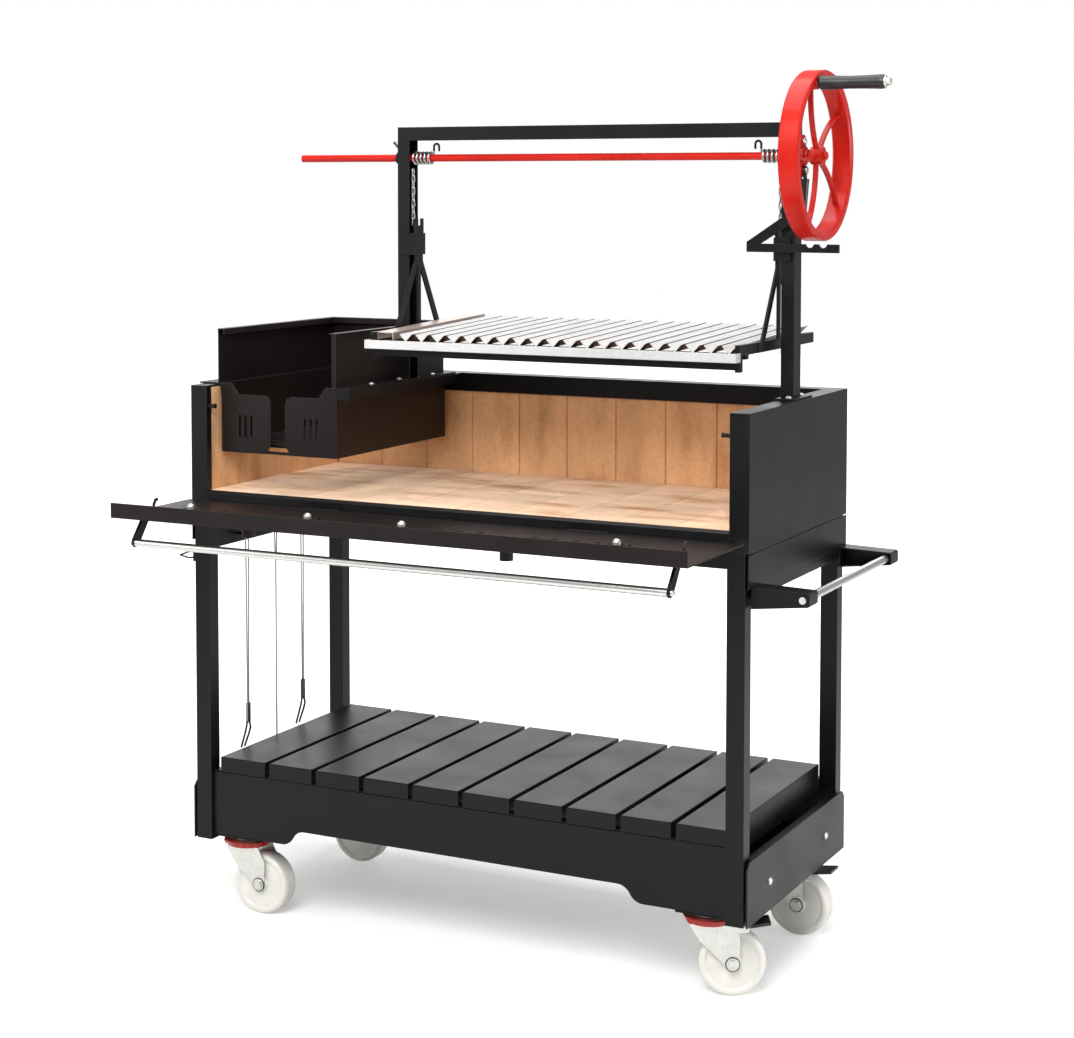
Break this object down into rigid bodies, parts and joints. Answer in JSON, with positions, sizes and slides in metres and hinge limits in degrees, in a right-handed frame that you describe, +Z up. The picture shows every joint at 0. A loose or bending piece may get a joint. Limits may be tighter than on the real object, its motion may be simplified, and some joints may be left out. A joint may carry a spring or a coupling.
{
  "type": "rotisserie spit roaster",
  "caption": "Wheeled charcoal and wood roaster: brick-lined firebox, fold-down vented door, hanging wood basket and a grate raised by a hand-wheel winch.",
  "frame": {"origin": "middle of the whole footprint on the floor, door open and crank included", "axes": "+Z up, +Y to the back, +X to the hand-wheel side"},
  "size_m": [1.417, 0.812, 1.7],
  "materials": {
    "black_powder_coat": "satin powder coat",
    "brown_black_coat": "heat-tinted satin coat",
    "red_enamel": "gloss enamel",
    "stainless": "brushed",
    "bright_stainless": "polished",
    "zinc": "zinc plated",
    "firebrick": "rough, mottled",
    "black_plastic": "matte",
    "white_nylon": "moulded nylon"
  },
  "bodies": {
    "cart": {"corner_legs": "black_powder_coat", "end_aprons": "black_powder_coat", "side_aprons": "black_powder_coat", "shelf_rails": "black_powder_coat", "shelf_slats": "black_powder_coat", "cradle_rails": "black_powder_coat", "firebox_floor_pan": "black_powder_coat", "firebox_side_panels": "black_powder_coat", "firebox_back_panel": "black_powder_coat", "floor_bricks": "firebrick", "wall_bricks": "firebrick", "catch_pins": "zinc", "door_hinge_rod": "black_powder_coat", "basket_rail": "black_powder_coat", "lift_posts": "black_powder_coat", "top_beam": "black_powder_coat", "flange_bearing": "red_enamel", "spit_rest": "black_powder_coat", "side_handle_brackets": "black_powder_coat", "side_handle_bar": "stainless", "tool_hooks": "black_powder_coat", "caster_plates": "zinc", "frame_bolts": "zinc"},
    "door": {"door_panel": "brown_black_coat", "door_handle_arms": "black_powder_coat", "door_handle_bar": "stainless", "damper_studs": "zinc"},
    "damper_left": {"left_damper": "brown_black_coat"},
    "damper_right": {"right_damper": "brown_black_coat"},
    "winch": {"winch_shaft": "red_enamel", "chain_wraps": "stainless", "handwheel": "red_enamel", "crank_spindle": "zinc"},
    "grip": {"crank_grip": "black_plastic"},
    "grate": {"lift_sleeves": "black_powder_coat", "lift_struts": "black_powder_coat", "grate_arms": "black_powder_coat", "vee_channels": "bright_stainless", "grate_frame": "stainless", "lift_chains": "stainless"},
    "basket": {"wood_basket": "brown_black_coat", "basket_bars": "brown_black_coat", "basket_guard": "brown_black_coat", "basket_bolts": "zinc"},
    "brake": {"brake_lever": "black_plastic"},
    "lock": {"lock_lever": "black_plastic"},
    "tool_front": {"front_fork_tool": "stainless"},
    "tool_middle": {"poker_tool": "black_powder_coat"},
    "tool_rear": {"rear_fork_tool": "stainless"},
    "swivel_front_left": {"caster_fork_front_left": "zinc"},
    "wheel_front_left": {"caster_wheel_front_left": "white_nylon"},
    "swivel_front_right": {"caster_fork_front_right": "zinc"},
    "wheel_front_right": {"caster_wheel_front_right": "white_nylon"},
    "pedal_front_right": {"brake_pedal_front_right": "black_plastic"},
    "swivel_rear_left": {"caster_fork_rear_left": "zinc"},
    "wheel_rear_left": {"caster_wheel_rear_left": "white_nylon"},
    "swivel_rear_right": {"caster_fork_rear_right": "zinc"},
    "wheel_rear_right": {"caster_wheel_rear_right": "white_nylon"},
    "pedal_rear_right": {"brake_pedal_rear_right": "black_plastic"}
  },
  "joints": [
    {"name": "door_hinge", "type": "hinge", "parent": "cart", "child": "door", "pos_m": [-0.0685, -0.1405, 0.846], "axis": [-1, 0, 0], "range_deg": [0, 90]},
    {"name": "left_damper_slide", "type": "slide", "parent": "door", "child": "damper_left", "axis": [1, 0, 0], "range_m": [-0.012, 0.012]},
    {"name": "right_damper_slide", "type": "slide", "parent": "door", "child": "damper_right", "axis": [1, 0, 0], "range_m": [-0.012, 0.012]},
    {"name": "grate_lift", "type": "slide", "parent": "cart", "child": "grate", "axis": [0, 0, 1], "range_m": [-0.24, 0.02], "deforming": ["lift_chains"]},
    {"name": "winch_turn", "type": "hinge", "parent": "cart", "child": "winch", "pos_m": [-0.0685, 0.16, 1.54], "axis": [1, 0, 0], "range_deg": [-110, 1310]},
    {"name": "grip_spin", "type": "hinge", "parent": "winch", "child": "grip", "pos_m": [0.6315, 0.11143, 1.67344], "axis": [1, 0, 0], "continuous": true},
    {"name": "basket_lift_out", "type": "slide", "parent": "cart", "child": "basket", "axis": [0, 0, 1], "range_m": [0, 0.12]},
    {"name": "brake_pivot", "type": "hinge", "parent": "cart", "child": "brake", "pos_m": [0.5265, 0.16, 1.513], "axis": [1, 0, 0], "range_deg": [-25, 25]},
    {"name": "lock_pivot", "type": "hinge", "parent": "cart", "child": "lock", "pos_m": [-0.35, 0.16, 1.555], "axis": [0, 0, 1], "range_deg": [-60, 60]},
    {"name": "front_tool_swing", "type": "hinge", "parent": "cart", "child": "tool_front", "pos_m": [-0.6255, -0.004, 0.762], "axis": [1, 0, 0], "range_deg": [-4, 4]},
    {"name": "middle_tool_swing", "type": "hinge", "parent": "cart", "child": "tool_middle", "pos_m": [-0.6255, 0.103, 0.762], "axis": [1, 0, 0], "range_deg": [-4, 4]},
    {"name": "rear_tool_swing", "type": "hinge", "parent": "cart", "child": "tool_rear", "pos_m": [-0.6255, 0.206, 0.762], "axis": [1, 0, 0], "range_deg": [-4, 4]},
    {"name": "front_left_swivel", "type": "hinge", "parent": "cart", "child": "swivel_front_left", "pos_m": [-0.5765, -0.076, 0.149], "axis": [0, 0, 1], "continuous": true},
    {"name": "front_left_roll", "type": "hinge", "parent": "swivel_front_left", "child": "wheel_front_left", "pos_m": [-0.5365, -0.076, 0.0625], "axis": [0, 1, 0], "continuous": true},
    {"name": "front_right_swivel", "type": "hinge", "parent": "cart", "child": "swivel_front_right", "pos_m": [0.4395, -0.076, 0.149], "axis": [0, 0, 1], "continuous": true},
    {"name": "front_right_roll", "type": "hinge", "parent": "swivel_front_right", "child": "wheel_front_right", "pos_m": [0.47514, -0.05784, 0.0625], "axis": [-0.454, 0.891, 0], "continuous": true},
    {"name": "front_right_pedal", "type": "hinge", "parent": "swivel_front_right", "child": "pedal_front_right", "pos_m": [0.49652, -0.04695, 0.128], "axis": [-0.454, 0.891, 0], "range_deg": [-6, 10]},
    {"name": "rear_left_swivel", "type": "hinge", "parent": "cart", "child": "swivel_rear_left", "pos_m": [-0.5765, 0.306, 0.149], "axis": [0, 0, 1], "continuous": true},
    {"name": "rear_left_roll", "type": "hinge", "parent": "swivel_rear_left", "child": "wheel_rear_left", "pos_m": [-0.5365, 0.306, 0.0625], "axis": [0, 1, 0], "continuous": true},
    {"name": "rear_right_swivel", "type": "hinge", "parent": "cart", "child": "swivel_rear_right", "pos_m": [0.4395, 0.306, 0.149], "axis": [0, 0, 1], "continuous": true},
    {"name": "rear_right_roll", "type": "hinge", "parent": "swivel_rear_right", "child": "wheel_rear_right", "pos_m": [0.4795, 0.306, 0.0625], "axis": [0, 1, 0], "continuous": true},
    {"name": "rear_right_pedal", "type": "hinge", "parent": "swivel_rear_right", "child": "pedal_rear_right", "pos_m": [0.5035, 0.306, 0.128], "axis": [0, 1, 0], "range_deg": [-6, 10]}
  ],
  "couplings": [
    {"joint": "winch_turn", "follows": "grate_lift", "rad_per_m": -95.238}
  ]
}
